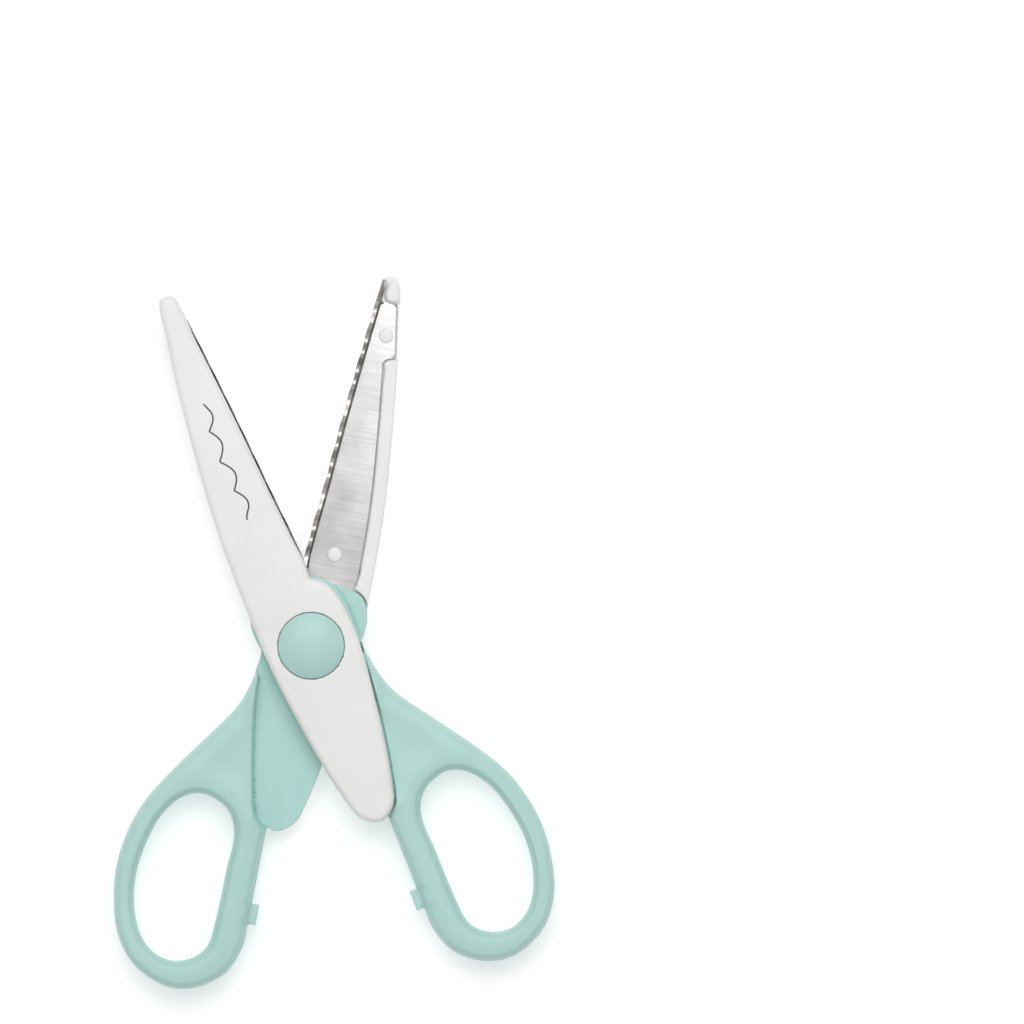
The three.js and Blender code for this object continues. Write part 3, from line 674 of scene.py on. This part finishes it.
def blade(side):
    """The stamping of flat, joggle, corrugated strip and the plain fin at the strip's end."""
    name = f"{side}_blade"
    triangles = cad_triangles(name, SIDES[side])
    flat, *holes = slice_at(triangles, FLAT_SLICE)
    low = triangles.reshape(-1, 3)
    low = low[(low[:, 2] < STRIP_BELOW) & (low[:, 1] >= WAVE_START - 0.01)]
    rows = np.unique(low[:, 1].round(2))
    edge_x = np.array([low[abs(low[:, 1] - y) < 0.02][:, 0].max() for y in rows])
    end = rows[-1]
    wave_end = end - PLAIN_END

    def edge_at(y):
        return np.interp(y, rows, edge_x)

    def bend_at(y):
        return edge_at(y) - STRIP_FROM_BEND

    # The flat's outline without its side along the strip, closed round the strip and its point
    strip_y = np.arange(WAVE_START, end, STRIP_STEP)
    beyond = (flat[:, 1] > WAVE_START - 0.3) & (flat[:, 0] > bend_at(flat[:, 1]) - 0.35)
    first = np.flatnonzero(beyond & ~np.roll(beyond, 1))[0]
    flat = np.roll(flat, -first, axis=0)
    kept = flat[~np.roll(beyond, -first)]
    corner = kept[0]
    turn = 2 * math.pi * np.hypot(edge_at(strip_y), strip_y) / WAVE_PITCH
    scallop = SCALLOP[side] * (0.5 - 0.5 * np.cos(turn + SCALLOP_PHASE))
    scallop *= eased(strip_y, *SCALLOP_RUN_IN)
    outer_edge = np.column_stack((edge_at(strip_y) - scallop, strip_y))
    fin = np.array([(bend_at(end) + 0.85, end), (bend_at(end - 1.6) + 0.5, end - 1.6),
                    (bend_at(corner[1] + 0.4) + 0.35, corner[1] + 0.4)])
    outline = np.concatenate((outer_edge, fin, kept))
    whole = [smooth(outline, 0.6)] + [smooth(p, 0.4) for p in holes]
    across = np.arange(-0.1, STRIP_FROM_BEND + 0.01, 0.1)
    columns = [np.column_stack((bend_at(strip_y) + u, strip_y)) for u in across]
    points = np.concatenate((
        rings(whole, (BREAK_EDGE / 2, BREAK_EDGE, 2 * BREAK_EDGE, 0.35)),
        *columns,
        np.column_stack((np.linspace(-5, 5, 40), np.full(40, WAVE_START))),
        lattice([smooth(flat, 0.6)], 0.9, 0.8),
    ))

    def skins(plan, faces):
        x, y = plan.T
        strip = SIDES[side] * wave(plan, wave_end) + LIE
        edge = distance(plan, segments_of(whole))
        worn = BREAK_EDGE * (1 - quarter(edge, BREAK_EDGE))
        shaped = eased(y, WAVE_START - 0.2, WAVE_START + 0.2)
        wide = JOGGLE + (FIN_JOGGLE - JOGGLE) * eased(y, wave_end - 1.5, wave_end + 0.5)
        fall = shaped * eased(x - bend_at(y), 0, wide)
        inner = SHEET[0] + (strip - SHEET[0]) * fall
        fall = shaped * eased(x - bend_at(y), JOGGLE_WALL, JOGGLE_WALL + wide)
        outer = SHEET[1] + (strip - SHEET[0]) * fall
        return inner + worn, outer - worn

    corners, faces = two_skins(whole, points, skins)
    made = piece(
        name + "_stamping", to_row(corners, SIDES[side]), faces,
        f"{side}_half", name, STEEL[side], sharp=60)
    made.data.materials.append(GROUND[side])
    made.data.materials.append(PAINTED_SHADE_STEEL)
    # Faces of the strip get ground steel on their inner side and the painted-shade steel on their outer side
    middles = to_half([face.center for face in made.data.polygons], SIDES[side])
    outward = to_half([face.center + face.normal * MM for face in made.data.polygons], SIDES[side])
    on_strip = (middles[:, 0] > bend_at(middles[:, 1]) + 0.02) & (middles[:, 1] > WAVE_START)
    outer_face = (outward - middles)[:, 2] > -0.2
    finish_or_painted_shade = np.where(on_strip, np.where(outer_face, 2, 1), 0)
    made.data.polygons.foreach_set("material_index", finish_or_painted_shade.astype(np.int32))


for side in SIDES:
    blade(side)


# ---- Caps, rivets and the pivot ------------------------------------------------------------------


def turned(name, profile, centre, side, slot, body, node, material, count=96):
    """A solid of revolution from a profile of radius and level that starts and ends on the axis."""
    angles = np.linspace(0, 2 * math.pi, count, endpoint=False)
    rows = profile[1:-1]
    corners = [(centre[0], centre[1], profile[0][1])]
    for radius, level in rows:
        corners += [(centre[0] + radius * math.cos(a), centre[1] + radius * math.sin(a), level)
                    for a in angles]
    corners.append((centre[0], centre[1], profile[-1][1]))
    faces = [(0, 1 + (k + 1) % count, 1 + k) for k in range(count)]
    for i in range(len(rows) - 1):
        a, b = 1 + i * count, 1 + (i + 1) * count
        faces += [(a + k, a + (k + 1) % count, b + (k + 1) % count, b + k) for k in range(count)]
    a = 1 + (len(rows) - 1) * count
    faces += [(a + k, a + (k + 1) % count, len(corners) - 1) for k in range(count)]
    piece(name, to_row(corners, side), faces, body, node, material, sharp=35)


def middle(node, side):
    """Centre in plan, radius and levels of a CAD node in its half's frame."""
    corners = cad_triangles(node, side).reshape(-1, 3)
    low, high = corners.min(axis=0), corners.max(axis=0)
    return (low + high)[:2] / 2, (high - low)[0] / 2, low[2], high[2]


RIVET_RIM = 0.28
RIVET_CROWN = 0.14
SHANK_SHARE = 0.5
UNDER_SHEET = SHEET[0] - 0.03
for side, sign in SIDES.items():
    for place in ("rear", "front"):
        node_name = f"{side}_rivet_{place}"
        centre, radius, low, high = middle(node_name, sign)
        shank = radius * SHANK_SHARE
        head = [(0, low)] + [(radius * t, low + RIVET_CROWN * t**2) for t in (0.3, 0.6, 0.8)]
        head += [(radius - RIVET_RIM * (1 - math.sin(a)), low + 0.12 + RIVET_RIM * (1 - math.cos(a)))
                 for a in np.linspace(0.4, math.pi / 2, 6)]
        head += [(radius, UNDER_SHEET), (shank, UNDER_SHEET), (shank, high), (0, high)]
        turned(f"{node_name}_post", head, centre, sign, "white_plastic", f"{side}_half",
               node_name, WHITE, 64)

CAP_BEVEL = 0.3
CAP_WALL = 1.2
CAP_FOOT = 0.15
CAP_HOLLOW_TOP = 6.9
CAP_STANDS_OUT = 0.35
_, cap, low, high = middle("pivot_cap_upper", 1)
rim = COVER_OUT + CAP_STANDS_OUT
dome_radius = (cap**2 + (high - rim) ** 2) / (2 * (high - rim))
dome = [(r, high - dome_radius + math.sqrt(dome_radius**2 - r**2))
        for r in np.linspace(cap - CAP_BEVEL, 0.2, 40)]
shoulder = dome[0][1]
bevel = [(cap - CAP_BEVEL * (1 - math.cos(a)), shoulder - CAP_BEVEL * (1.1 - math.sin(a)))
         for a in np.linspace(0, math.pi / 2 - 0.15, 7)]
hollow = [(0, CAP_HOLLOW_TOP), (cap - CAP_WALL, CAP_HOLLOW_TOP), (cap - CAP_WALL, low)]
foot = [(cap - CAP_FOOT, low), (cap, low + CAP_FOOT)]
turned("pivot_cap_upper_dome", [*hollow, *foot, *bevel, *dome, (0, high)],
       (0, 0), 1, "mint_plastic", "upper_half", "pivot_cap_upper", MINT)
_, cap, low, high = middle("pivot_cap_lower", -1)
DISC_THICKNESS = 1.0
ceiling = high - DISC_THICKNESS
hollow = [(0, ceiling), (cap - CAP_WALL, ceiling), (cap - CAP_WALL, low)]
foot = [(cap - CAP_FOOT, low), (cap, low + CAP_FOOT)]
bevel = [(cap - CAP_BEVEL * (1 - math.cos(a)), high - CAP_BEVEL * (1 - math.sin(a)))
         for a in np.linspace(0, math.pi / 2, 8)]
turned("pivot_cap_lower_disc", [*hollow, *foot, *bevel, (cap * 0.5, high), (0, high)],
       (0, 0), -1, "mint_plastic", "lower_half", "pivot_cap_lower", MINT)


# ---- Printed line --------------------------------------------------------------------------------

INK_WIDTH = 0.36
INK_LIFT = 0.012
LINE = (31.5, 59.4)
LINE_X = -2.6
LINE_SWING = 1.0
LINE_POINTS = 260


def printed_line():
    """A wavy line with rounded bumps and sharper dips, printed along the middle of the upper cover."""
    cover_mesh = bpy.data.objects["upper_cover_moulding"].data
    corners = to_half([v.co for v in cover_mesh.vertices], 1)
    outer = corners[corners[:, 2] > SEAT_OUT + 0.5]
    y = np.linspace(*LINE, LINE_POINTS)
    t = 2 * math.pi * (y - LINE[0]) / WAVE_PITCH
    ends = eased(y, LINE[0] - 2, LINE[0] + 3) * (1 - 0.5 * eased(y, LINE[1] - 5, LINE[1]))
    sway = 2 * np.sqrt(np.sin(t / 2) ** 2 + 0.004) - 1 + 0.35 * np.sin(t / WAVES_IN_PATTERN)
    line = np.column_stack((LINE_X + LINE_SWING * ends * sway, y))
    left = to_left(np.gradient(line, axis=0)) * INK_WIDTH / 2
    strips = []
    for shift in (-1, 1):
        row = line + left * shift
        gap = np.linalg.norm(outer[None, :, :2] - row[:, None], axis=2)
        near = np.argsort(gap, axis=1)[:, :3]
        level = np.mean(outer[near, 2], axis=1)
        strips.append((row, np.convolve(np.pad(level, 4, "edge"), np.ones(9) / 9, "valid")))
    n = len(line)
    corners = np.concatenate([
        np.column_stack((row, level + lift)) for lift in (INK_LIFT, -INK_LIFT) for row, level in strips])
    # The ribbon's four rows of corners, in order round its section
    rows = (0, n, 3 * n, 2 * n)
    faces = [tuple(row + i for row in rows) for i in (0, n - 1)]
    for a, b in zip(rows, (*rows[1:], rows[0])):
        faces += [(a + i, a + i + 1, b + i + 1, b + i) for i in range(n - 1)]
    made = piece("upper_cover_printed_line", to_row(corners, 1), faces, "upper_half",
                 None, INK)
    work = bmesh.new()
    work.from_mesh(made.data)
    bmesh.ops.recalc_face_normals(work, faces=work.faces)
    work.to_mesh(made.data)
    work.free()


printed_line()


# ---- Floor, lights and camera --------------------------------------------------------------------

FINISH = {"mint_plastic": MINT, "white_plastic": WHITE, "pivot_steel": ZINC, "washer_plastic": NYLON}
for part in frame["record"]["subparts"]:
    name, slot = part["node"], part["material_slot"]
    cad = frame["nodes"][name]
    cad.data.materials.clear()
    cad.data.materials.append(
        STEEL[name.split("_")[0]] if slot == "stainless_blade" else FINISH[slot])

FLOOR_SIDE = 6.0
SKY_FROM, SKY_TO = 0.0, 0.6
floor_mesh = bpy.data.meshes.new("floor")
low = cad_box[0][2]
half = FLOOR_SIDE / 2
floor_mesh.from_pydata(
    [(-half, -half, low), (half, -half, low), (half, half, low), (-half, half, low)], [], [(0, 1, 2, 3)])
floor = bpy.data.objects.new("floor", floor_mesh)
bpy.context.scene.collection.objects.link(floor)
floor_material, _, floor_shader, _ = surface(
    "pale_floor", (0.9, 0.9, 0.9), (0.905, 0.905, 0.905), 0.5, 0.9, 0.02)
floor_shader.inputs["Emission Color"].default_value = (1, 1, 1, 1)
floor_shader.inputs["Emission Strength"].default_value = 0.3
floor_mesh.materials.append(floor_material)

world = bpy.data.worlds.new("studio")
world.use_nodes = True
sky = world.node_tree
sky.nodes["Background"].inputs["Strength"].default_value = 0.52
sky_place = node(sky, "TexCoord")
sky_axes = node(sky, "SeparateXYZ")
sky_fade = node(sky, "ValToRGB")
sky_fade.color_ramp.elements[0].position = SKY_FROM
sky_fade.color_ramp.elements[0].color = (0.08, 0.08, 0.08, 1)
sky_fade.color_ramp.elements[1].position = SKY_TO
sky_fade.color_ramp.elements[1].color = (1, 1, 1, 1)
sky.links.new(sky_place.outputs["Generated"], sky_axes.inputs["Vector"])
sky.links.new(sky_axes.outputs["Z"], sky_fade.inputs["Fac"])
sky.links.new(sky_fade.outputs["Color"], sky.nodes["Background"].inputs["Color"])
bpy.context.scene.world = world


def softbox(name, place, aim, size, power):
    """A large soft lamp, places and sizes in metres and power in watts."""
    lamp = bpy.data.lights.new(name, "AREA")
    lamp.shape = "RECTANGLE"
    lamp.size, lamp.size_y = size
    lamp.energy = power
    made = bpy.data.objects.new(name, lamp)
    bpy.context.scene.collection.objects.link(made)
    made.location = place
    made.rotation_euler = (Vector(aim) - Vector(place)).to_track_quat("-Z", "Y").to_euler()


softbox("overhead", place=(0.0, 0.36, 0.72), aim=(0.0, 0.03, 0), size=(0.7, 0.55), power=2.9)
softbox("from_loops", place=(0.05, -0.55, 0.8), aim=(0.0, -0.04, 0), size=(0.7, 0.5), power=0.8)
softbox("from_tip", place=(0.15, 0.9, 0.95), aim=(0.05, 0.03, 0), size=(0.9, 0.6), power=1.5)

SENSOR = 36.0
CAMERA_HEIGHT = 2.8
VIEW_WIDTH = 0.2302
CENTRE = (0.0476, 0.0258)
UP = (0.0906, 0.9959)
camera_data = bpy.data.cameras.new("camera")
camera_data.sensor_width = SENSOR
camera_data.lens = SENSOR * CAMERA_HEIGHT / VIEW_WIDTH
camera_data.clip_start = 0.01
camera = bpy.data.objects.new("camera", camera_data)
bpy.context.scene.collection.objects.link(camera)
camera.location = (*CENTRE, CAMERA_HEIGHT + MID_PLANE)
camera.rotation_euler = (0, 0, math.atan2(-UP[0], UP[1]))
bpy.context.scene.camera = camera
bpy.context.scene.view_settings.view_transform = "Standard"
